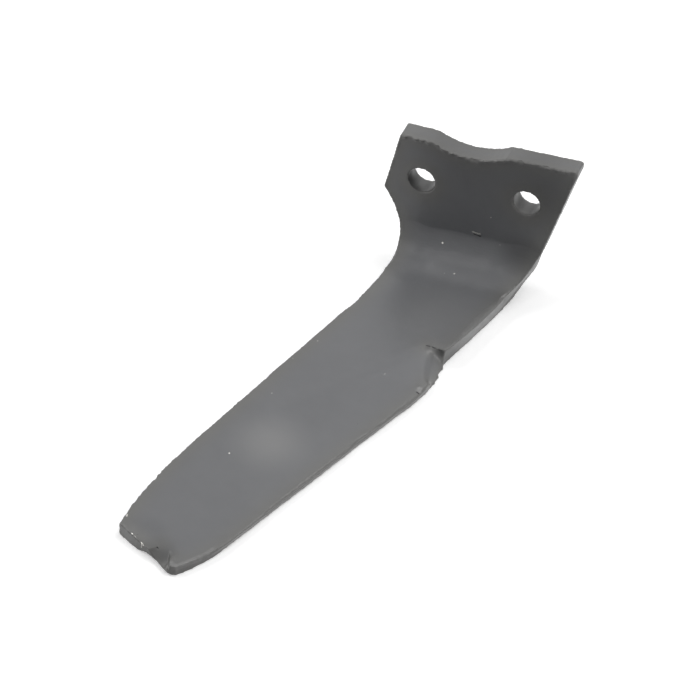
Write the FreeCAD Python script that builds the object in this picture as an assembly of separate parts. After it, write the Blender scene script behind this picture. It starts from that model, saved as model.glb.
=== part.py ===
import FreeCAD, Part
import math
import os

# Harrow tine: one bar of steel, bolted at its flange, bent over at the neck and forged out into a blade.
# Millimetres. The origin is midway between the bolt holes, on the flange's seating face.
# +X runs along the hole line, the blade reaches towards -Y, and +Z is up as the tine lies on its blade.
# A reach is measured forwards from the flange's front face, a drop downwards from the hole line.

# Bar and bolt holes
bar_thickness = 12.0
hole_pitch = 60.0
hole_diameter = 16.5

# Flange
end_margin = 26.9
left_margin = 19.2
right_margin = 19.6
left_lean = math.radians(14.8)
right_lean = math.radians(18.4)
left_corner_radius = 1.5
left_end_rise = 0.7
right_corner_radius = 2.2
hub_notch_width = 42.5
hub_notch_depth = 5.4
hub_notch_offset = -2.7

# Waist cut in the left edge of the flat bar, below a pointed corner
corner_drop = 9.0
waist_radius = 62.0
waist_drop = 43.0

# Bend
blade_drop = 50.0
bend_radius = 18.5
bend_side_run = 16.1
bend_side_bow = 0.9
bend_sections = 7

# Neck
shoulder_reach = 73.0
neck_run = 14.0
neck_bow = 0.5

# Blade, seen from above
flare_length = 8.5
flare_run = 2.6
flare_bow = 0.8
bulge_length = 38.0
bulge_run = 10.1
bulge_bow = 1.9
right_edge_lean = math.radians(19.45)
right_edge_end_reach = 244.4
nose_run = 14.7
nose_length = 25.3
nose_bow = 1.5
nose_flat_run = 3.9
nose_flat_length = 1.0
end_width = 39.0
end_skew = math.radians(27.6)
left_edge_start_reach = 58.0
left_edge_start_run = 1.6
left_edge_lean = math.radians(15.2)
left_edge_end_reach = 197.0
left_tip_bow = 1.3

# Blade, in section: thick on the trailing left side, drawn thin on the leading right side.
# The drawing down starts at the shoulder's corner, where a steep flank runs out to the leading edge.
tip_thickness = 8.0
leading_thickness = 4.8
shoulder_inset = 7.8
shoulder_thickness = 2.3
flank_length = 30.0
flank_run = 11.5
flank_inset = 31.0
crease_length = 75.0
crease_inset = 50.0
flank_start_width = 0.6
flank_start_drop = 0.3
section_overhang = 3.0

# Hollows pressed into the blade's end from above and below, their places as shares of its width from the tip
scoop_radius = 11.5
scoop_slope = math.radians(15.0)
scoop_depth = 2.4
scoop_place = 0.20
arch_radius = 42.0
arch_slope = math.radians(14.0)
arch_rise = 2.3
arch_place = 0.27

# Amount by which cutting tools stand out of the material, and the tolerance for finding an edge
tool_overlap = 5.0
edge_tolerance = 0.01

front_face = -bar_thickness
floor_drop = blade_drop + bar_thickness
flange_drop = blade_drop - bend_radius
bend_length = bend_radius * math.pi / 2
left_at_holes = -hole_pitch / 2 - left_margin
right_at_holes = hole_pitch / 2 + right_margin


def left_edge(height):
    """Flange's straight left edge at a height above the hole line."""
    return left_at_holes + height * math.tan(left_lean)


def right_edge(height):
    """Flange's right edge at a height above the hole line."""
    return right_at_holes + height * math.tan(right_lean)


def waist_arc_x(drop):
    """Waist cut's edge on the flat bar, before bending: a circle tangent to the bar's axis at waist_drop."""
    corner_offset = waist_drop - corner_drop
    narrowest = left_edge(-corner_drop) + waist_radius - math.sqrt(waist_radius ** 2 - corner_offset ** 2)
    return narrowest - waist_radius + math.sqrt(waist_radius ** 2 - (drop - waist_drop) ** 2)


def plan(x, reach):
    """Point of the view from above, at a reach from the flange's front face."""
    return FreeCAD.Vector(x, front_face - reach, 0)


def front(x, height):
    """Point of the flange's front face, at a height above the hole line."""
    return FreeCAD.Vector(x, front_face, height)


def line(start, end):
    return Part.LineSegment(start, end).toShape()


def bowed(start, end, bow):
    """Level arc from start to end that stands out by bow to the left of its chord, seen from above."""
    up = FreeCAD.Vector(0, 0, 1)
    middle = (start + end) * 0.5 + up.cross(end - start).normalize() * bow
    return Part.Arc(start, middle, end).toShape()


def tangent_arc(start, end, end_direction):
    """Arc from start to end that arrives along end_direction."""
    chord = start - end
    across = chord - end_direction * (chord.dot(end_direction) / end_direction.dot(end_direction))
    radius = chord.dot(chord) / (2 * across.Length)
    centre = end + across.normalize() * radius
    middle = (start + end) * 0.5 - centre
    return Part.Arc(start, centre + middle.normalize() * radius, end).toShape()


def edges_at(shape, point):
    """Edges of the shape that run front to back through a point of its front view."""
    return [
        edge for edge in shape.Edges
        if all(math.hypot(v.X - point.x, v.Z - point.z) < edge_tolerance for v in edge.Vertexes)
    ]


def make_flange():
    """Upright flange with its leaning sides, pointed corner, waist cut and hub notch."""
    bottom = -flange_drop
    notch_left = front(hub_notch_offset - hub_notch_width / 2, end_margin)
    notch_right = front(hub_notch_offset + hub_notch_width / 2, end_margin)
    notch_low = front(hub_notch_offset, end_margin - hub_notch_depth)
    left_end = end_margin + left_end_rise
    top_left = front(left_edge(left_end), left_end)
    top_right = front(right_edge(end_margin), end_margin)
    corner = front(left_edge(-corner_drop), -corner_drop)
    waist_middle_drop = (corner_drop + flange_drop) / 2
    waist_middle = front(waist_arc_x(waist_middle_drop), -waist_middle_drop)
    low_left = front(waist_arc_x(flange_drop), bottom)
    low_right = front(right_edge(bottom), bottom)
    outline = Part.Wire([
        line(top_left, notch_left),
        Part.Arc(notch_left, notch_low, notch_right).toShape(),
        line(notch_right, top_right),
        line(top_right, low_right),
        line(low_right, low_left),
        Part.Arc(low_left, waist_middle, corner).toShape(),
        line(corner, top_left),
    ])
    flange = Part.Face(outline).extrude(FreeCAD.Vector(0, bar_thickness, 0))
    for corner_point, radius in ((top_left, left_corner_radius), (top_right, right_corner_radius)):
        flange = flange.makeFillet(radius, edges_at(flange, corner_point))
    return flange


def bend_section(share):
    """Bar's section part of the way round the bend, share 0 at the flange and 1 at the neck."""
    angle = share * math.pi / 2
    left = waist_arc_x(flange_drop + share * bend_length)
    right = right_edge(-flange_drop) - share * bend_side_run - 4 * share * (1 - share) * bend_side_bow
    axis_y = front_face - bend_radius
    corners = []
    for x, radius in (
        (left, bend_radius),
        (right, bend_radius),
        (right, bend_radius + bar_thickness),
        (left, bend_radius + bar_thickness),
    ):
        y = axis_y + radius * math.cos(angle)
        z = -flange_drop - radius * math.sin(angle)
        corners.append(FreeCAD.Vector(x, y, z))
    return Part.makePolygon(corners + corners[:1])


def make_bend():
    """Quarter turn whose sides follow the skewed edges of the bar."""
    sections = [bend_section(step / (bend_sections - 1)) for step in range(bend_sections)]
    return Part.makeLoft(sections, True)


def blade_outline():
    """Neck and blade seen from above, clockwise from the neck's left side at the bend."""
    neck_left_x = waist_arc_x(flange_drop + bend_length)
    neck_right_x = right_edge(-flange_drop) - bend_side_run
    neck_left = plan(neck_left_x, bend_radius)
    neck_right = plan(neck_right_x, bend_radius)
    shoulder = plan(neck_right_x - neck_run, shoulder_reach)
    crest_reach = shoulder_reach + flare_length
    crest = plan(shoulder.x + flare_run, crest_reach)
    bulge_end = plan(crest.x - bulge_run, crest_reach + bulge_length)
    right_run = (right_edge_end_reach - crest_reach - bulge_length) * math.tan(right_edge_lean)
    right_end = plan(bulge_end.x - right_run, right_edge_end_reach)
    nose = plan(right_end.x - nose_run, right_edge_end_reach + nose_length)
    tip = plan(nose.x - nose_flat_run, right_edge_end_reach + nose_length + nose_flat_length)
    tip_left = tip + FreeCAD.Vector(-math.cos(end_skew), math.sin(end_skew), 0) * end_width
    left_direction = FreeCAD.Vector(-math.sin(left_edge_lean), -math.cos(left_edge_lean), 0)
    left_length = (left_edge_end_reach - left_edge_start_reach) / math.cos(left_edge_lean)
    left_start = plan(left_at_holes - left_edge_start_run, left_edge_start_reach)
    left_end = left_start + left_direction * left_length
    edges = [
        line(neck_left, neck_right),
        bowed(neck_right, shoulder, neck_bow),
        bowed(shoulder, crest, flare_bow),
        bowed(crest, bulge_end, bulge_bow),
        line(bulge_end, right_end),
        bowed(right_end, nose, nose_bow),
        line(nose, tip),
        line(tip, tip_left),
        bowed(tip_left, left_end, left_tip_bow),
        line(left_end, left_start),
        tangent_arc(neck_left, left_start, left_direction),
    ]
    stations = [shoulder, bulge_end, right_end, nose]
    return Part.Wire(Part.__sortEdges__(edges)), stations, tip, tip_left


def blade_section(y, crease_x, trailing, edge, foot_x, left_limit):
    """Section across the blade at y: flat top to the crease, slope to the edge point, then down to foot_x.

    It reaches below the floor, where the outline's own bottom face trims it.
    """
    bottom = -floor_drop - tool_overlap
    top = -floor_drop + trailing
    corners = [
        FreeCAD.Vector(left_limit, y, bottom),
        FreeCAD.Vector(left_limit, y, top),
        FreeCAD.Vector(crease_x, y, top),
        FreeCAD.Vector(edge[0], y, edge[1]),
        FreeCAD.Vector(foot_x, y, bottom),
    ]
    return Part.makePolygon(corners + corners[:1])


def shoulder_section(shoulder, left_limit):
    """Section at the shoulder, where the flank falls from near the neck's top to the leading edge."""
    crease_x = shoulder.x - shoulder_inset
    edge = (crease_x + flank_start_width, -blade_drop - flank_start_drop)
    fall = bar_thickness - flank_start_drop - shoulder_thickness
    run = shoulder_inset - flank_start_width
    foot_x = shoulder.x + (shoulder_thickness + tool_overlap) * run / fall
    return blade_section(shoulder.y, crease_x, bar_thickness, edge, foot_x, left_limit)


def wedge_section(foot, inset, trailing, left_limit):
    """Section past the flank: the slope meets the leading thickness at foot and goes on beyond the outline."""
    slope = (trailing - leading_thickness) / inset
    edge_x = foot.x + section_overhang
    edge = (edge_x, -floor_drop + leading_thickness - section_overhang * slope)
    return blade_section(foot.y, foot.x - inset, trailing, edge, edge_x, left_limit)


def make_blade():
    """Neck slab and forged blade, cut to the outline seen from above."""
    outline, stations, tip, tip_left = blade_outline()
    left_limit = tip_left.x - tool_overlap
    shoulder, bulge_end, right_end, nose = stations
    far_y = tip.y - tool_overlap

    def trailing_at(y):
        return bar_thickness + (tip_thickness - bar_thickness) * (shoulder.y - y) / (shoulder.y - far_y)

    def right_edge_at(y):
        return bulge_end.x + (right_end.x - bulge_end.x) * (bulge_end.y - y) / (bulge_end.y - right_end.y)

    flank_y = shoulder.y - flank_length
    crease_y = shoulder.y - crease_length
    sections = [shoulder_section(shoulder, left_limit)]
    for y, foot_x, inset in (
        (flank_y, shoulder.x - shoulder_inset + flank_run - section_overhang, flank_inset),
        (crease_y, right_edge_at(crease_y), crease_inset),
        (right_end.y, right_end.x, crease_inset),
        (far_y, nose.x, crease_inset),
    ):
        sections.append(wedge_section(FreeCAD.Vector(foot_x, y, 0), inset, trailing_at(y), left_limit))
    blade = Part.makeLoft(sections, True, True)
    neck_start = front_face - bend_radius
    neck = Part.makeBox(
        right_at_holes - left_limit,
        neck_start - shoulder.y,
        bar_thickness + tool_overlap,
        FreeCAD.Vector(left_limit, shoulder.y, -floor_drop - tool_overlap),
    )
    outline.translate(FreeCAD.Vector(0, 0, -floor_drop))
    prism = Part.Face(outline).extrude(FreeCAD.Vector(0, 0, bar_thickness + tool_overlap))
    return neck.fuse(blade).common(prism), tip, tip_left


def make_end_tool(tip, tip_left, place, radius, slope, height, side):
    """Round tool lying across the blade's end, side 1 above it and -1 below, nearest at the given height."""
    outward = FreeCAD.Vector(-math.sin(end_skew), -math.cos(end_skew), 0)
    up = FreeCAD.Vector(0, 0, side)
    point = tip + (tip_left - tip) * place
    point.z = height
    direction = outward * math.cos(slope) - up * math.sin(slope)
    normal = outward * math.sin(slope) + up * math.cos(slope)
    start = point + normal * radius - direction * radius
    return Part.makeCylinder(radius, radius + tool_overlap, start, direction)


def make_end_tools(tip, tip_left):
    """Tools of the scoop in the end's top and the arch under it."""
    floor = -floor_drop
    end_thickness = leading_thickness + (tip_thickness - leading_thickness) * scoop_place
    scoop_height = floor + end_thickness - scoop_depth
    scoop = make_end_tool(tip, tip_left, scoop_place, scoop_radius, scoop_slope, scoop_height, 1)
    arch = make_end_tool(tip, tip_left, arch_place, arch_radius, arch_slope, floor + arch_rise, -1)
    return [scoop, arch]


def make_bolt_hole(side):
    start = FreeCAD.Vector(side * hole_pitch / 2, tool_overlap, 0)
    return Part.makeCylinder(hole_diameter / 2, bar_thickness + 2 * tool_overlap, start, FreeCAD.Vector(0, -1, 0))


def make_tine():
    blade, tip, tip_left = make_blade()
    tine = make_flange().fuse([make_bend(), blade])
    tine = tine.cut([make_bolt_hole(-1), make_bolt_hole(1)] + make_end_tools(tip, tip_left))
    return tine.removeSplitter()


def main():
    os.makedirs("parts", exist_ok=True)
    tine = make_tine()
    print("harrow_tine", len(tine.Solids), "solids", tine.isValid(), round(tine.Volume), "mm3", tine.BoundBox)
    tine.Solids[0].exportStep("parts/harrow_tine.step")


main()
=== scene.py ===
import math

import bmesh
import bpy
import numpy as np
from mathutils import Matrix, Vector, noise
from mathutils.kdtree import KDTree


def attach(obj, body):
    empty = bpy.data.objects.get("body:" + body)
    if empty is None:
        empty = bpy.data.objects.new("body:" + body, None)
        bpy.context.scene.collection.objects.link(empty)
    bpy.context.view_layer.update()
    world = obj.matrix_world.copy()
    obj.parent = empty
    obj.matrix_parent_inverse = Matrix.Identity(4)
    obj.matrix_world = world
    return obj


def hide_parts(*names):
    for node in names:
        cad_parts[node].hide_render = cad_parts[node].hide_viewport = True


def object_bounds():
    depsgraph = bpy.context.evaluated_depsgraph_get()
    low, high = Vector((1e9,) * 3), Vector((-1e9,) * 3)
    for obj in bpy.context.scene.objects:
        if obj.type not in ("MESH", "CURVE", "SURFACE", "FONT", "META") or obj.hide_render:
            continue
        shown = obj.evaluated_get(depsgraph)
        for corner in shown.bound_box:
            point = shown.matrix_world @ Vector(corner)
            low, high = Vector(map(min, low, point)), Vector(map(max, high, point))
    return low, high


# Looks of the harrow tine. Everything is in metres, in the frame of the CAD model.

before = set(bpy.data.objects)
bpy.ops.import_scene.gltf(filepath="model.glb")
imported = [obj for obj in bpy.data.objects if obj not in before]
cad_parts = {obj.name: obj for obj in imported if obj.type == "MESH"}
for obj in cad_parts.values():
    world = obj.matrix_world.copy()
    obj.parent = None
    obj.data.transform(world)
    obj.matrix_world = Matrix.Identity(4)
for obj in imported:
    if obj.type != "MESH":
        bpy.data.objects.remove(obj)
cad_low, cad_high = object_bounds()
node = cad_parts["harrow_tine"]
scene = bpy.context.scene

# Camera: where it looks, from which side, its lens, and how near and far it sees
camera_target = Vector((-0.0360, -0.1030, -0.0500))
camera_distance = 1.5888
camera_azimuth = math.radians(22.52)
camera_elevation = math.radians(39.53)
camera_roll = math.radians(-1.218)
camera_lens_mm = 154.29
camera_sensor_mm = 36.0
camera_near = 0.05
camera_far = 50

# Floor: size, colour, and how strongly it glows where it is looked at
floor_height = cad_low[2]
floor_size = 6.0
floor_grey = 0.85
floor_roughness = 0.9
floor_glow = 0.46

# Sky: how strongly it lights the piece, and how bright it is where it is looked at
sky_light = 0.0
sky_glow = 1

# Soft boxes: azimuth and elevation in degrees, size and power
lamp_target = Vector((-0.03, -0.12, -0.04))
lamp_distance = 1.4
lamps = {
    "key": (112, 70, 0.8, 9.0),
    "right_low": (90, 12, 0.8, 5.5),
    "back_right": (148, 36, 0.8, 0.9),
    "back": (180, 45, 0.8, 1.5),
    "back_left": (225, 45, 0.8, 0.8),
    "left": (270, 45, 0.8, 7.4),
    "front_high": (335, 55, 0.3, 0.65),
    "front_middle": (337, 40, 0.25, 0.45),
}

# Grid of the forged skin, and how densely the edges of the solid are marked by points
grid_step = 0.0006
triangle_limit = 190000
weld_distance = 0.000002
edge_step = 0.0004

# Angles from which an edge counts as sharp, and from which it counts as a crease that wear has softened
sharp_angle = math.radians(32)
crease_angle = math.radians(1.5)
# Angle up to which an inner edge counts as a crease, in the boxes below
inner_angle = math.radians(110)
# Boxes that hold creases, with the angle up to which an outer edge is one: the top, the end and the shoulder
soft_boxes = (
    ((-0.1000, -0.2550, -0.0590), (0.0300, -0.0600, -0.0450), math.radians(32)),
    ((-0.1000, -0.2850, -0.0590), (-0.0660, -0.2550, -0.0450), math.radians(32)),
    ((-0.0080, -0.1250, -0.0570), (0.0140, -0.0840, -0.0450), math.radians(62)),
)

# Unevenness of the skin: depths, and the wavelength and seed of each noise
swell_depth = 0.00016
swell_noise = (0.030, 1)
ripple_depth = 0.00004
ripple_noise = (0.007, 2)
# Edges: how far they swell out, how jagged they are, and how far that reaches
edge_swell = 0.00015
edge_reach = 0.0010
jag_depth = 0.00012
jag_noise = (0.0042, 3)
fine_jag_depth = 0.00026
fine_jag_noise = (0.0016, 4)
# How far apart two seeds read the noise
seed_step = 13.7

# How far the warm tone of the rims reaches from the edges
warm_reach = 0.0070

# Lip that the shear left along the front of the flange's upper end, and the box that holds that edge
lip_depth = 0.00180
lip_noise = (0.0042, 5)
lip_fine_noise = (0.0021, 6)
lip_fine_share = 0.8
lip_reach = 0.0013
lip_box = ((-0.0415, -0.0125, 0.015), (0.060, -0.0115, 0.030))

# Burr standing up along the nose: where it fades out, the box that holds its edge, and its uneven height
burr_height = 0.00080
burr_reach = 0.0020
burr_start_y = -0.2500
burr_full_y = -0.2640
burr_box = ((-0.0625, -0.2830, -0.0588), (-0.0300, burr_start_y, -0.0500))
burr_mean = 0.75
burr_variation = 0.5
burr_noise = (0.0042, 7)

# Step where the hollow in the end's top meets the nose: its foot and run in plan, its depth and its widths
step_place = (-0.0605, -0.2809)
step_run = (-0.39, 0.92)
step_depth = 0.0026
step_rise = 0.0005
step_width = 0.0090
step_length = 0.0110

# How fast the burr and the step fade where the skin turns from facing up to standing upright
facing_gain = 2

# Bolt holes, tighter than bored by the paint in them, and how far around their walls the skin stays crisp
hole_radius = 0.00825
hole_places = (-0.030, 0.030)
hole_paint = (0.0006, 0.0007)
hole_paint_reach = 0.0012
crisp_reach = hole_radius / 2
smooth_reach = hole_radius / 4

# Rounding by hammer and furnace: passes of smoothing, their strength, and how far from the creases they reach
smoothing_strength = 0.5
edge_passes = 3
crease_passes = 120
crease_reach = 0.0060

# Edges worn rounder: side (1 is right, -1 is left), start and end of the run down the piece, fade and radius
worn_edges = (
    (1, 0.0700, 0.1330, 0.0250, 0.0034),
    (1, 0.1500, 0.3120, 0.0300, 0.0022),
    (-1, 0.3160, 0.3340, 0.0040, 0.0006),
)
# Upper edges hammered out past the sides below: the edge as above with its width out, and reach inward
spread_edges = (
    ((1, 0.0440, 0.1500, 0.0200, 0.0032), 0.0110),
    ((1, 0.1500, 0.3340, 0.0250, 0.0020), 0.0050),
)
# Which way the sides and the upper faces of those edges look at least, and how far their normals are blended
wall_facing = 0.3
top_facing = 0.9
worn_blend = 0.0040
# Passes of smoothing on a round, and how far from its edge the round is looked for, in radii
worn_passes = 30
round_reach = 2

# Front rims of the bolt holes: radii of their rounding, and the share of it that is left on top
rim_radii = (0.0003, 0.0005)
rim_least_share = 0.1
rim_steps = 120

# Inside of the bend, hammered fuller than its plain radius: a wavy fold line and a wider arc
bend_front_y = -0.0120
bend_top_z = -0.0500
bend_radius = 0.0185
fold_angle = math.radians(10)
fold_z = -0.0290
fold_wave = 0.0012
fold_noise = (0.0120, 8)
# How deep under the bend's inside the points move along with it
fill_depth = 0.0080

# Soft dents and bumps: centre, radius and depth, negative where it stands out
dents = (
    ((-0.0800, -0.2645, -0.0545), 0.0065, 0.00055),
    ((-0.0720, -0.2690, -0.0560), 0.0045, 0.00050),
    ((-0.0760, -0.2755, -0.0600), 0.0060, 0.00050),
    ((0.0577, -0.0020, 0.0262), 0.0028, -0.00045),
    ((0.0577, -0.0060, 0.0262), 0.0028, -0.00045),
    ((0.0577, -0.0100, 0.0262), 0.0028, -0.00045),
    ((0.0075, -0.1156, -0.0568), 0.0012, 0.00025),
    ((0.0064, -0.1119, -0.0559), 0.0012, -0.00025),
    ((0.0035, -0.1241, -0.0567), 0.0010, -0.00020),
    ((0.0247, -0.0252, -0.0520), 0.0016, -0.00030),
    ((0.0325, -0.0060, -0.0455), 0.0080, -0.00130),
    ((-0.0126, -0.1126, -0.0520), 0.0008, -0.00012),
)

# Bare metal, and dark marks that are partly stain marks and partly painted shadow and shade, such as the
# shadow under the chipped dash on the bend and the shade on the shoulder's facet: spots by place and radius,
# and strokes from start to end with their radius
chips = (
    ((-0.0165, -0.0147, -0.0367), 0.00075),
    ((-0.0057, -0.0256, -0.0473), 0.00060),
    ((-0.0111, -0.0264, -0.0477), 0.00042),
    ((0.0156, -0.0125, -0.0311), 0.00045),
    ((0.0100, -0.0120, -0.0144), 0.00035),
    ((-0.0551, -0.1015, -0.0503), 0.00050),
    ((-0.0620, -0.1194, -0.0507), 0.00040),
    ((-0.0617, -0.1486, -0.0513), 0.00045),
    ((-0.0644, -0.1982, -0.0530), 0.00060),
    ((-0.0126, -0.1126, -0.0520), 0.00040),
    ((-0.0007, -0.1379, -0.0586), 0.00045),
    ((-0.0949, -0.2581, -0.0534), 0.00050),
)
scratches = (
    ((-0.0002, -0.0120, -0.0267), (0.0040, -0.0120, -0.0272), 0.00060),
    ((-0.0868, -0.2686, -0.0545), (-0.0838, -0.2703, -0.0547), 0.00032),
    ((-0.0803, -0.2719, -0.0550), (-0.0776, -0.2733, -0.0566), 0.00034),
    ((-0.0792, -0.2726, -0.0556), (-0.0799, -0.2726, -0.0585), 0.00026),
    ((-0.0943, -0.2575, -0.0537), (-0.0938, -0.2590, -0.0538), 0.00040),
)
# Dark spots at the tip, and a painted shadow beside a small dent on the blade's right edge
stains_and_shadows = (
    ((-0.0838, -0.2680, -0.0545), 0.00070),
    ((-0.0790, -0.2700, -0.0547), 0.00060),
    ((0.0075, -0.1156, -0.0568), 0.00080),
)
# Dark strokes: a painted shadow under the chipped dash on the bend, painted shade on the shoulder's facet and
# beside a small dent, and a dark line at the tip
streaks_and_shadows = (
    ((0.0008, -0.0120, -0.0281), (0.0043, -0.0120, -0.0286), 0.00050),
    ((-0.0712, -0.2722, -0.0558), (-0.0672, -0.2732, -0.0562), 0.00050),
    ((0.0048, -0.1160, -0.0570), (0.0080, -0.1150, -0.0566), 0.00050),
    ((0.0006, -0.0851, -0.0503), (0.0092, -0.0848, -0.0511), 0.00055),
)
# Painted highlight along the burr, and how strongly
burr_highlight_strokes = (
    ((-0.0615, -0.2796, -0.0567), (-0.0566, -0.2809, -0.0570), 0.00220),
    ((-0.0566, -0.2809, -0.0570), (-0.0490, -0.2704, -0.0575), 0.00230),
    ((-0.0490, -0.2704, -0.0575), (-0.0455, -0.2626, -0.0575), 0.00150),
)
burr_highlight_share = 0.26
# Share of a mark's radius in which it is at its full value
mark_core = 0.5

# Patches painted lighter as painted light, by place, radius and share: a painted highlight on the blade, and
# painted light on the neck just past the bend and on the tip's end face
painted_light_patches = (
    ((-0.0484, -0.1827, -0.0538), 0.0270, 1.0),
    ((0.0000, -0.0600, -0.0500), 0.0450, 0.5),
    ((-0.0900, -0.2680, -0.0590), 0.0090, 0.9),
)
# Patches painted dark and matt, by place, radius and share: painted shade on the bend's right side, in the
# hollow at the tip, on the shoulder's facet and low on the neck's right side, and two that darken the
# flange's upper end
painted_shade_patches = (
    ((0.0290, -0.0120, -0.0330), 0.0200, 0.55),
    ((-0.0150, -0.0060, 0.0260), 0.0350, 0.3),
    ((0.0350, -0.0060, 0.0260), 0.0350, 0.3),
    ((-0.0660, -0.2760, -0.0585), 0.0095, 0.45),
    ((-0.0705, -0.2735, -0.0565), 0.0115, 0.35),
    ((0.0085, -0.0849, -0.0530), 0.0045, 0.45),
    ((0.0020, -0.0862, -0.0508), 0.0030, 0.35),
    ((0.0130, -0.0790, -0.0610), 0.0180, 0.3),
)
# Painted shade on the flange's front only, and a painted shadow on the left wall of the left hole only
front_shade_patches = (
    ((0.0400, -0.0120, 0.0080), 0.0450, 0.6),
    ((0.0000, -0.0120, 0.0150), 0.0350, 0.3),
)
hole_shadow_patches = (
    ((-0.0372, -0.0115, -0.0022), 0.0095, 1.0),
    ((-0.0335, -0.0118, -0.0070), 0.0060, 0.7),
)
# Depth range in which the flange's front turns into the holes' walls
front_depth = (-0.0119, -0.0114)

# Colours: two tones each for the faces and the rims, and one for each kind of mark, among them the painted
# light, the painted highlight and the painted shade
white = (1, 1, 1, 1)
face_tones = ((0.124, 0.127, 0.134, 1), (0.154, 0.157, 0.164, 1))
rim_tones = ((0.128, 0.127, 0.122, 1), (0.156, 0.155, 0.150, 1))
painted_light_colour = (0.205, 0.206, 0.208, 1)
burr_highlight_colour = (0.30, 0.30, 0.30, 1)
painted_shade_colour = (0.075, 0.075, 0.075, 1)
stain_and_shadow_colour = (0.045, 0.045, 0.045, 1)
steel_colour = (0.52, 0.51, 0.48, 1)

# Noise of the paint: clouds in its colour, scale under it, its fine grain, and the marks' ragged outline
cloud_noise = {"Scale": 45, "Detail": 4, "Roughness": 0.6}
scale_noise = {"Scale": 260, "Detail": 3}
grain_noise = {"Scale": 1500, "Detail": 3}
ragged_noise = {"Scale": 1400, "Detail": 1}
ragged_middle = (0.5, 0.5, 0.5)
ragged_width = 0.0012

# Roughness of clean paint over the scale and of dull paint, and the gloss of both
clean_roughness = (0.25, 0.37)
dull_roughness = 0.8
clean_gloss = 0.5
dull_gloss = 0.1
# Relief of the scale and of the grain
scale_relief = 0.00010
grain_relief = 0.00004
relief_strength = 0.5


def direction_to(azimuth, elevation):
    """Unit vector from the piece to something at an azimuth and an elevation."""
    return Vector((
        math.sin(azimuth) * math.cos(elevation),
        -math.cos(azimuth) * math.cos(elevation),
        math.sin(elevation),
    ))


def add_camera():
    right = Vector((math.cos(camera_azimuth), math.sin(camera_azimuth), 0))
    back = direction_to(camera_azimuth, camera_elevation)
    up = back.cross(right)
    turn = Matrix((right, up, back)).transposed() @ Matrix.Rotation(camera_roll, 3, "Z")
    data = bpy.data.cameras.new("camera")
    data.lens = camera_lens_mm
    data.sensor_width = camera_sensor_mm
    data.clip_start = camera_near
    data.clip_end = camera_far
    camera = bpy.data.objects.new("camera", data)
    camera.matrix_world = Matrix.Translation(camera_target + back * camera_distance) @ turn.to_4x4()
    scene.collection.objects.link(camera)
    scene.camera = camera


def area_light(name, azimuth, elevation, size, power):
    """Soft box that looks at the piece from a side and a height given in degrees."""
    direction = direction_to(math.radians(azimuth), math.radians(elevation))
    data = bpy.data.lights.new(name, "AREA")
    data.shape = "SQUARE"
    data.size = size
    data.energy = power
    lamp = bpy.data.objects.new(name, data)
    lamp.location = lamp_target + direction * lamp_distance
    lamp.rotation_euler = direction.to_track_quat("Z", "Y").to_euler()
    scene.collection.objects.link(lamp)


def add_node(tree, kind, inputs=None, **settings):
    """Shader node with its settings, and its inputs by name: a socket is linked, anything else is a value."""
    made = tree.nodes.new(kind)
    for name, value in settings.items():
        setattr(made, name, value)
    for name, value in (inputs or {}).items():
        if isinstance(value, bpy.types.NodeSocket):
            tree.links.new(value, made.inputs[name])
        else:
            made.inputs[name].default_value = value
    return made


def larger(tree, first, second):
    """The larger of two numbers."""
    return add_node(tree, "ShaderNodeMath", {0: first, 1: second}, operation="MAXIMUM").outputs[0]


def ranged(tree, share, start, end):
    """Number that goes from start to end as the share goes from 0 to 1."""
    return add_node(tree, "ShaderNodeMapRange", {"Value": share, "To Min": start, "To Max": end}).outputs[0]


def vector_node(tree, operation, inputs):
    return add_node(tree, "ShaderNodeVectorMath", inputs, operation=operation)


def new_material(name):
    """Material with its node tree and its shader."""
    material = bpy.data.materials.new(name)
    material.use_nodes = True
    return material, material.node_tree, material.node_tree.nodes["Principled BSDF"]


def seen_strength(tree, hidden, seen):
    """Strength of a glow that is stronger where it is looked at than where it lights the piece."""
    path = add_node(tree, "ShaderNodeLightPath")
    looks = path.outputs["Is Camera Ray"]
    for name in ("Is Glossy Ray", "Is Transmission Ray"):
        looks = larger(tree, looks, path.outputs[name])
    return ranged(tree, looks, hidden, seen)


def floor_material():
    """Matt floor that also glows a little for the camera, so that it looks white and keeps the shadow."""
    material, tree, shader = new_material("floor_white")
    shader.inputs["Base Color"].default_value = (floor_grey, floor_grey, floor_grey, 1)
    shader.inputs["Roughness"].default_value = floor_roughness
    shader.inputs["Emission Color"].default_value = white
    tree.links.new(seen_strength(tree, 0, floor_glow), shader.inputs["Emission Strength"])
    return material


def add_studio():
    scene.view_settings.view_transform = "Standard"
    world = bpy.data.worlds.new("studio")
    scene.world = world
    world.use_nodes = True
    tree = world.node_tree
    background = tree.nodes["Background"]
    background.inputs["Color"].default_value = white
    tree.links.new(seen_strength(tree, sky_light, sky_glow), background.inputs["Strength"])
    bpy.ops.mesh.primitive_plane_add(size=floor_size, location=(0, 0, floor_height))
    floor = bpy.context.object
    floor.name = "floor"
    floor.data.materials.append(floor_material())
    for name, settings in lamps.items():
        area_light(name, *settings)


def in_box(place, least, most):
    return all(least[axis] < place[axis] < most[axis] for axis in range(3))


def is_crease(edge, angle):
    """Whether an edge of the solid lies in a soft box and is folded no more than the box lets wear soften."""
    middle = (edge.verts[0].co + edge.verts[1].co) / 2
    limits = [
        limit if edge.is_convex else inner_angle
        for least, most, limit in soft_boxes
        if in_box(middle, least, most)
    ]
    return any(crease_angle < angle < limit for limit in limits)


def level_and_wall(edge):
    """Normals of the two faces of an edge, that of the more sideways one last."""
    return sorted((face.normal.copy() for face in edge.link_faces), key=lambda normal: abs(normal.x))


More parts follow.
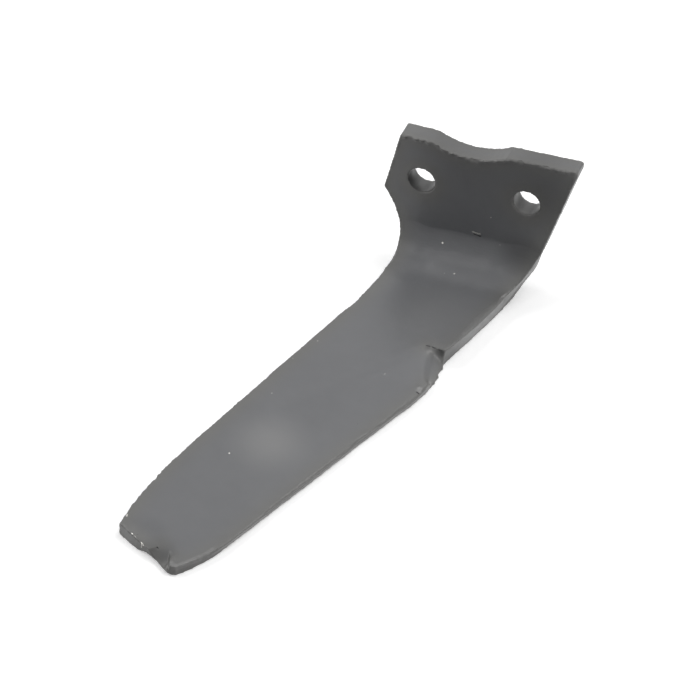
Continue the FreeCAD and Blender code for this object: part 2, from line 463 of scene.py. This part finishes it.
def welded_copy():
    """The CAD solid as a piece of its own, with points along its sharp edges and along its creases."""
    mesh = node.data.copy()
    skin = bmesh.new()
    skin.from_mesh(mesh)
    bmesh.ops.remove_doubles(skin, verts=skin.verts, dist=weld_distance)
    sharp = []
    creases = []
    for edge in skin.edges:
        angle = edge.calc_face_angle(0)
        start, end = (corner.co for corner in edge.verts)
        steps = max(1, round(edge.calc_length() / edge_step))
        places = [start.lerp(end, step / steps) for step in range(steps + 1)]
        if is_crease(edge, angle):
            creases.extend(places)
        elif angle > sharp_angle:
            level, wall = level_and_wall(edge)
            sharp.extend((place, level, wall, edge.is_convex) for place in places)
    skin.to_mesh(mesh)
    skin.free()
    piece = bpy.data.objects.new("forged_skin", mesh)
    scene.collection.objects.link(piece)
    return piece, [np.array(part) for part in zip(*sharp)], creases


def apply_modifier(piece, kind, **settings):
    modifier = piece.modifiers.new(kind.lower(), kind)
    for name, value in settings.items():
        setattr(modifier, name, value)
    graph = bpy.context.evaluated_depsgraph_get()
    mesh = bpy.data.meshes.new_from_object(piece.evaluated_get(graph))
    old = piece.data
    piece.modifiers.clear()
    piece.data = mesh
    bpy.data.meshes.remove(old)


def read_points(mesh):
    points = np.empty(len(mesh.vertices) * 3)
    mesh.vertices.foreach_get("co", points)
    return points.reshape(-1, 3)


def read_normals(mesh):
    normals = np.empty(len(mesh.vertices) * 3)
    mesh.vertex_normals.foreach_get("vector", normals)
    return normals.reshape(-1, 3)


def read_links(mesh):
    links = np.empty(len(mesh.edges) * 2, dtype=np.int32)
    mesh.edges.foreach_get("vertices", links)
    return links.reshape(-1, 2).T


def write_points(mesh, points):
    mesh.vertices.foreach_set("co", points.ravel())
    mesh.update()


def smoothed(points, links, weight, passes):
    """Points after passes that each move them towards the mean of their neighbours, by their own weight."""
    count = len(points)
    first, second = links
    neighbours = np.bincount(first, minlength=count) + np.bincount(second, minlength=count)
    for _ in range(passes):
        mean = np.empty_like(points)
        for axis in range(3):
            values = points[:, axis]
            total = np.bincount(first, values[second], count) + np.bincount(second, values[first], count)
            mean[:, axis] = total / neighbours
        points = points + weight[:, None] * (mean - points)
    return points


def nearest(targets, points):
    """Number of the nearest of the targets for each point, and the distance to it."""
    tree = KDTree(len(targets))
    for number, target in enumerate(targets):
        tree.insert(target, number)
    tree.balance()
    found = [tree.find(point)[1:] for point in points.tolist()]
    numbers = np.array([number for number, distance in found])
    distances = np.array([distance for number, distance in found])
    return numbers, distances


def distance_to(targets, points):
    return nearest(targets, points)[1]


def near_box(points, places, reach):
    """Numbers of the points in the box around places, widened by a reach."""
    near = np.all((points > places.min(axis=0) - reach) & (points < places.max(axis=0) + reach), axis=1)
    return np.flatnonzero(near)


def noise_at(points, length, seed):
    """Smooth noise between about -1 and 1 that repeats the same way on each run."""
    places = points / length + seed * seed_step
    return np.array([noise.noise(place) for place in places.tolist()])


def bell(distance, reach):
    return np.exp(-(distance / reach) ** 2)


def unit(vectors):
    return vectors / np.linalg.norm(vectors, axis=1)[:, None]


def softened(points, links, creases, share, edge_distance):
    """Edges softened a little but for those of the bolt holes, and the creases and worn rounds more."""
    near_edges = bell(edge_distance, edge_reach)
    crisp = hole_closeness(points, crisp_reach)
    points = smoothed(points, links, smoothing_strength * near_edges * (1 - crisp), edge_passes)
    weight = smoothing_strength * bell(distance_to(creases, points), crease_reach) * (1 - near_edges)
    points = smoothed(points, links, weight, crease_passes)
    return smoothed(points, links, smoothing_strength * share, worn_passes)


def run_down(places):
    """How far down the piece places are, from the flange's top over the bend to the blade's end."""
    return -places[:, 1] - places[:, 2]


def blended(places, values):
    """Unit vectors at places, each blended with those around it."""
    weight = bell(np.linalg.norm(places[:, None] - places[None], axis=2), worn_blend)
    return unit(weight @ values)


def upper_edge(sharp, side, start, end, fade, radius):
    """One side's upper edge, as places, the two normals, and a size that grows from nothing at both ends."""
    places, level, wall, convex = sharp
    run = run_down(places)
    kept = convex & (run > start) & (run < end) & (wall[:, 0] * side > wall_facing)
    kept &= level[:, 2] - level[:, 1] > top_facing
    places, level, wall, run = places[kept], level[kept], wall[kept], run[kept]
    size = radius * np.clip(np.minimum(run - start, end - run) / fade, 0, 1)
    return places, blended(places, level), blended(places, wall), size


def spread(points, sharp):
    """Points near the spread edges moved outward, most on the edges themselves."""
    moved = points.copy()
    for edge, reach in spread_edges:
        places, _, wall, size = upper_edge(sharp, *edge)
        picked = near_box(points, places, reach)
        number, distance = nearest(places, points[picked])
        width = size[number] * np.clip(1 - distance / reach, 0, 1)
        moved[picked] += width[:, None] * wall[number]
    return moved


def hole_rim(place, radius):
    """Front rim of a bolt hole, as places, the two normals, and a size."""
    turns = np.linspace(0, 2 * math.pi, rim_steps, endpoint=False)
    away = np.stack([np.cos(turns), np.zeros(rim_steps), np.sin(turns)], axis=1)
    places = np.array((place, bend_front_y, 0)) + hole_radius * away
    size = radius * np.clip(-np.sin(turns), rim_least_share, 1)
    return places, np.tile((0.0, -1.0, 0.0), (rim_steps, 1)), -away, size


def rounded(points, places, level, wall, size):
    """Points near an edge moved onto its round. Also gives the share to which each point lies on it."""
    reach = round_reach * size.max()
    picked = near_box(points, places, reach)
    number, distance = nearest(places, points[picked])
    close = distance < reach
    picked, number = picked[close], number[close]
    along = unit(np.cross(level, wall))[number]
    opening = 1 + np.sum(level * wall, axis=1)
    centre = (places - (size / opening)[:, None] * (level + wall))[number]
    level, wall, size = level[number], wall[number], size[number]
    arm = points[picked] - centre
    arm -= np.sum(arm * along, axis=1)[:, None] * along
    length = np.linalg.norm(arm, axis=1)
    outside = (np.sum(arm * level, axis=1) > 0) & (np.sum(arm * wall, axis=1) > 0) & (length > size)
    arm *= (outside * (1 - size / np.maximum(length, size)))[:, None]
    moved = points.copy()
    moved[picked] -= arm
    share = np.zeros(len(points))
    share[picked] = outside * size / size.max()
    return moved, share


def worn(points, sharp):
    """Points with all worn edges and rims rounded, and the share to which each lies on a round."""
    edges = [upper_edge(sharp, *edge) for edge in worn_edges]
    edges += [hole_rim(place, radius) for place, radius in zip(hole_places, rim_radii)]
    total = np.zeros(len(points))
    for edge in edges:
        points, share = rounded(points, *edge)
        total = np.maximum(total, share)
    return points, total


def fuller_arc(points):
    """Arms from the wider arc's centre to points, its radius there, and which are past the fold line."""
    across = points * (1, 0, 0)
    fold = fold_z + fold_wave * noise_at(across, *fold_noise)
    radius = (fold - bend_top_z) / (1 - math.sin(fold_angle))
    centre = np.stack([bend_front_y - radius * math.cos(fold_angle), bend_top_z + radius], axis=1)
    arm = points[:, 1:] - centre
    return arm, radius, (arm[:, 0] > 0) & (points[:, 2] < fold)


def depth_below(points):
    """How deep points lie under the plain inside of the bend and the faces on both sides of it."""
    centre = np.array((bend_front_y - bend_radius, bend_top_z + bend_radius))
    arm = points[:, 1:] - centre
    in_arc = (arm[:, 0] > 0) & (arm[:, 1] < 0)
    beside = np.where(arm[:, 0] > 0, points[:, 1] - bend_front_y, bend_top_z - points[:, 2])
    return np.where(in_arc, np.linalg.norm(arm, axis=1) - bend_radius, beside)


def fuller_bend(points):
    """Points of the inside of the bend moved out to the wider arc that starts at the fold line."""
    arm, radius, corner = fuller_arc(points)
    distance = np.linalg.norm(arm, axis=1)
    below = depth_below(points)
    fill = np.clip(distance - radius - below, 0, None) * corner * np.clip(1 - below / fill_depth, 0, 1)
    moved = points.copy()
    moved[:, 1:] -= arm / distance[:, None] * fill[:, None]
    return moved


def fuller_edges(sharp):
    """Sharp edges moved along with the bend's inside, their upper normals turned to the wider arc."""
    places, level, wall, convex = sharp
    moved = fuller_bend(places)
    filled = np.linalg.norm(moved - places, axis=1) > weld_distance
    turned = -unit(fuller_arc(moved)[0])
    level = level.copy()
    level[filled] = np.column_stack([np.zeros(filled.sum()), turned[filled]])
    return moved, level, wall, convex


def hole_offsets(points, place):
    """Distance of each point from a bolt hole's axis, and the direction away from it."""
    away = np.stack([points[:, 0] - place, np.zeros(len(points)), points[:, 2]], axis=1)
    distance = np.linalg.norm(away, axis=1)
    return distance, away / distance[:, None]


def hole_closeness(points, reach):
    """1 at a bolt hole's wall, falling to 0 away from it."""
    walls = [np.abs(hole_offsets(points, place)[0] - hole_radius) for place in hole_places]
    return bell(np.minimum(*walls), reach)


def painted_holes(points):
    """Points of the bolt holes' walls moved inwards by the paint."""
    for place, paint in zip(hole_places, hole_paint):
        distance, away = hole_offsets(points, place)
        share = np.clip(1 - (distance - hole_radius) / hole_paint_reach, 0, 1)
        points = points - away * (paint * share)[:, None]
    return points


def unevenness(points, edge_distance):
    """How far each point of the skin stands out along its normal."""
    quiet = 1 - hole_closeness(points, smooth_reach)
    jag = jag_depth * noise_at(points, *jag_noise)
    jag += fine_jag_depth * noise_at(points, *fine_jag_noise)
    rise = ripple_depth * noise_at(points, *ripple_noise)
    rise = rise + bell(edge_distance, edge_reach) * (edge_swell + jag)
    rise = rise * quiet + swell_depth * noise_at(points, *swell_noise)
    for centre, radius, depth in dents:
        rise -= depth * bell(np.linalg.norm(points - np.array(centre), axis=1), radius)
    return rise


def edge_in_box(sharp_places, box):
    """Places on the sharp edges inside a box."""
    return [place for place in sharp_places if in_box(place, *box)]


def lip(points, sharp_places):
    """How far the sheared lip sticks out to the front along the flange's upper end."""
    front = edge_in_box(sharp_places, lip_box)
    lumps = noise_at(points, *lip_noise) + lip_fine_share * noise_at(points, *lip_fine_noise)
    return lip_depth * lumps * bell(distance_to(front, points), lip_reach)


def facing_up(normals):
    """1 where the skin faces up, falling to 0 where it stands upright."""
    return np.clip(normals[:, 2] * facing_gain, 0, 1)


def burr(points, normals, sharp_places):
    """How far the burr lifts the points of the blade's top beside the nose."""
    nose = edge_in_box(sharp_places, burr_box)
    fade = np.clip((burr_start_y - points[:, 1]) / (burr_start_y - burr_full_y), 0, 1)
    ragged = burr_mean + burr_variation * noise_at(points, *burr_noise)
    return burr_height * fade * ragged * facing_up(normals) * bell(distance_to(nose, points), burr_reach)


def nose_step(points, normals):
    """How far the points of the end's top sink beside the nose, most along the step and at the end."""
    offset = points[:, :2] - np.array(step_place)
    inward = offset @ np.array(step_run)
    beside = offset @ np.array((-step_run[1], step_run[0]))
    edge = np.clip(beside / step_rise, 0, 1) * np.clip(1 - beside / step_width, 0, 1)
    return step_depth * edge * np.clip(1 - inward / step_length, 0, 1) * facing_up(normals)


def shaped(mesh, sharp, creases):
    """Points of the skin as hammered and worn, the places of its sharp edges, and the distance to those."""
    points = fuller_bend(read_points(mesh))
    sharp = fuller_edges(sharp)
    points = spread(points, sharp)
    sharp = (spread(sharp[0], sharp), *sharp[1:])
    edge_distance = distance_to(sharp[0], points)
    points, share = worn(points, sharp)
    points = softened(points, read_links(mesh), creases, share, edge_distance)
    return painted_holes(points), sharp[0], edge_distance


def roughened(points, normals, sharp_places, edge_distance):
    """Points with the unevenness of the forged skin, the burr, the step at the nose and the lip."""
    rise = unevenness(points, edge_distance)
    lift = burr(points, normals, sharp_places) - nose_step(points, normals)
    points = points + normals * rise[:, None] + np.outer(lift, (0, 0, 1))
    return points - np.outer(lip(points, sharp_places), (0, 1, 0))


def add_value(mesh, name, values):
    """Number at each point of the mesh, for the material to read."""
    field = mesh.attributes.new(name, "FLOAT", "POINT")
    field.data.foreach_set("value", values)


def make_skin():
    piece, sharp, creases = welded_copy()
    apply_modifier(piece, "REMESH", mode="VOXEL", voxel_size=grid_step)
    mesh = piece.data
    points, sharp_places, edge_distance = shaped(mesh, sharp, creases)
    write_points(mesh, points)
    points = roughened(points, read_normals(mesh), sharp_places, edge_distance)
    write_points(mesh, np.clip(points, np.array(cad_low), np.array(cad_high)))
    mesh.calc_loop_triangles()
    apply_modifier(piece, "DECIMATE", ratio=min(1.0, triangle_limit / len(mesh.loop_triangles)))
    mesh = piece.data
    mesh.shade_smooth()
    add_value(mesh, "warm", bell(distance_to(sharp_places, read_points(mesh)), warm_reach))
    mesh.materials.clear()
    mesh.materials.append(paint_material())
    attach(piece, "root")
    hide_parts("harrow_tine")


def noise_field(tree, place, settings):
    return add_node(tree, "ShaderNodeTexNoise", {"Vector": place, **settings})


def ragged_place(tree, place):
    """Place shifted by fine noise, for ragged outlines."""
    ragged = noise_field(tree, place, ragged_noise).outputs["Color"]
    shift = vector_node(tree, "SUBTRACT", {0: ragged, 1: ragged_middle}).outputs[0]
    scaled = vector_node(tree, "SCALE", {0: shift, "Scale": ragged_width}).outputs[0]
    return vector_node(tree, "ADD", {0: place, 1: scaled}).outputs[0]


def spot_distance(tree, place, centre):
    return vector_node(tree, "DISTANCE", {0: place, 1: centre}).outputs["Value"]


def stroke_distance(tree, place, start, end):
    """Distance from the line between start and end."""
    along = Vector(end) - Vector(start)
    offset = vector_node(tree, "SUBTRACT", {0: place, 1: start}).outputs[0]
    share = vector_node(tree, "DOT_PRODUCT", {0: offset, 1: along / along.length_squared}).outputs["Value"]
    kept = add_node(tree, "ShaderNodeClamp", {"Value": share}).outputs[0]
    foot = vector_node(tree, "SCALE", {0: along, "Scale": kept}).outputs[0]
    return spot_distance(tree, offset, foot)


def faded(tree, distance, inner, outer, full=1):
    """Full value up to the inner distance, falling to 0 at the outer one."""
    return add_node(tree, "ShaderNodeMapRange", {
        "Value": distance, "From Min": inner, "From Max": outer, "To Min": full, "To Max": 0,
    }, interpolation_type="SMOOTHSTEP").outputs[0]


def marks_mask(tree, place, spots, strokes, full=1):
    """Full value on any of the spots and strokes, and 0 elsewhere."""
    marks = [(spot_distance(tree, place, centre), radius) for centre, radius in spots]
    marks += [(stroke_distance(tree, place, start, end), radius) for start, end, radius in strokes]
    masks = [faded(tree, distance, radius * mark_core, radius, full) for distance, radius in marks]
    mask = masks[0]
    for other in masks[1:]:
        mask = larger(tree, mask, other)
    return mask


def patch_mask(tree, place, centre, radius, share):
    """The share at a patch's centre, falling to 0 at its radius."""
    return faded(tree, spot_distance(tree, place, centre), 0, radius, share)


def limited(tree, mask, limit):
    """Mask times a limit."""
    return add_node(tree, "ShaderNodeMath", {0: mask, 1: limit}, operation="MULTIPLY").outputs[0]


def painted_shade_masks(tree, place):
    """Masks of all patches of painted shade: anywhere, on the flange's front, and the painted shadow in the
    left hole.
    """
    depth = add_node(tree, "ShaderNodeSeparateXYZ", {"Vector": place}).outputs["Y"]
    front = faded(tree, depth, *front_depth)
    behind = faded(tree, depth, *reversed(front_depth))
    masks = [patch_mask(tree, place, *patch) for patch in painted_shade_patches]
    masks += [limited(tree, patch_mask(tree, place, *patch), front) for patch in front_shade_patches]
    masks += [limited(tree, patch_mask(tree, place, *patch), behind) for patch in hole_shadow_patches]
    return masks


def mixed(tree, factor, first, second):
    """Colour between first and second."""
    mix = add_node(tree, "ShaderNodeMix", {"Factor": factor}, data_type="RGBA")
    for value, place in zip((first, second), [place for place in mix.inputs if place.type == "RGBA"]):
        if isinstance(value, bpy.types.NodeSocket):
            tree.links.new(value, place)
        else:
            place.default_value = value
    return next(place for place in mix.outputs if place.type == "RGBA")


def paint_colour(tree, place, burr_highlight, shade_masks, stain_and_shadow, bare):
    """Colour of the paint, warmer at the rims, with painted light, painted highlights, painted shade and
    shadows, stain marks and bare chips over it.
    """
    cloud = noise_field(tree, place, cloud_noise).outputs["Fac"]
    warm = add_node(tree, "ShaderNodeAttribute", attribute_name="warm").outputs["Fac"]
    paint = mixed(tree, warm, mixed(tree, cloud, *face_tones), mixed(tree, cloud, *rim_tones))
    # Painted light: a painted highlight on the blade, and lighter paint on the neck and the end face
    for patch in painted_light_patches:
        paint = mixed(tree, patch_mask(tree, place, *patch), paint, painted_light_colour)
    # Painted highlight along the burr's ridge
    paint = mixed(tree, burr_highlight, paint, burr_highlight_colour)
    # Painted shade: darker paint where shade falls
    for mask in shade_masks:
        paint = mixed(tree, mask, paint, painted_shade_colour)
    # Stain marks and painted shadows
    paint = mixed(tree, stain_and_shadow, paint, stain_and_shadow_colour)
    return mixed(tree, bare, paint, steel_colour)


def paint_relief(tree, scale, grain):
    """Normal of the paint over the scale, with its fine grain."""
    coarse = add_node(tree, "ShaderNodeBump", {
        "Height": scale,
        "Distance": scale_relief,
        "Strength": relief_strength,
    })
    fine = add_node(tree, "ShaderNodeBump", {
        "Height": grain,
        "Distance": grain_relief,
        "Strength": relief_strength,
        "Normal": coarse.outputs["Normal"],
    })
    return fine.outputs["Normal"]


def paint_material():
    """Dark satin paint over forging scale, with painted light and shade, stain marks, and chips down to the
    steel.
    """
    material, tree, shader = new_material("dark_paint")
    place = add_node(tree, "ShaderNodeTexCoord").outputs["Object"]
    moved = ragged_place(tree, place)
    bare = marks_mask(tree, moved, chips, scratches)
    stain_and_shadow = marks_mask(tree, moved, stains_and_shadows, streaks_and_shadows)
    burr_highlight = marks_mask(tree, moved, (), burr_highlight_strokes, burr_highlight_share)
    shade_masks = painted_shade_masks(tree, place)
    dull = stain_and_shadow
    for mask in shade_masks:
        dull = larger(tree, dull, mask)
    scale = noise_field(tree, place, scale_noise).outputs["Fac"]
    grain = noise_field(tree, place, grain_noise).outputs["Fac"]
    roughness = ranged(tree, dull, ranged(tree, scale, *clean_roughness), dull_roughness)
    tree.links.new(paint_colour(tree, place, burr_highlight, shade_masks, stain_and_shadow, bare), shader.inputs["Base Color"])
    tree.links.new(roughness, shader.inputs["Roughness"])
    tree.links.new(ranged(tree, dull, clean_gloss, dull_gloss), shader.inputs["Specular IOR Level"])
    tree.links.new(bare, shader.inputs["Metallic"])
    tree.links.new(paint_relief(tree, scale, grain), shader.inputs["Normal"])
    return material


add_camera()
add_studio()
make_skin()
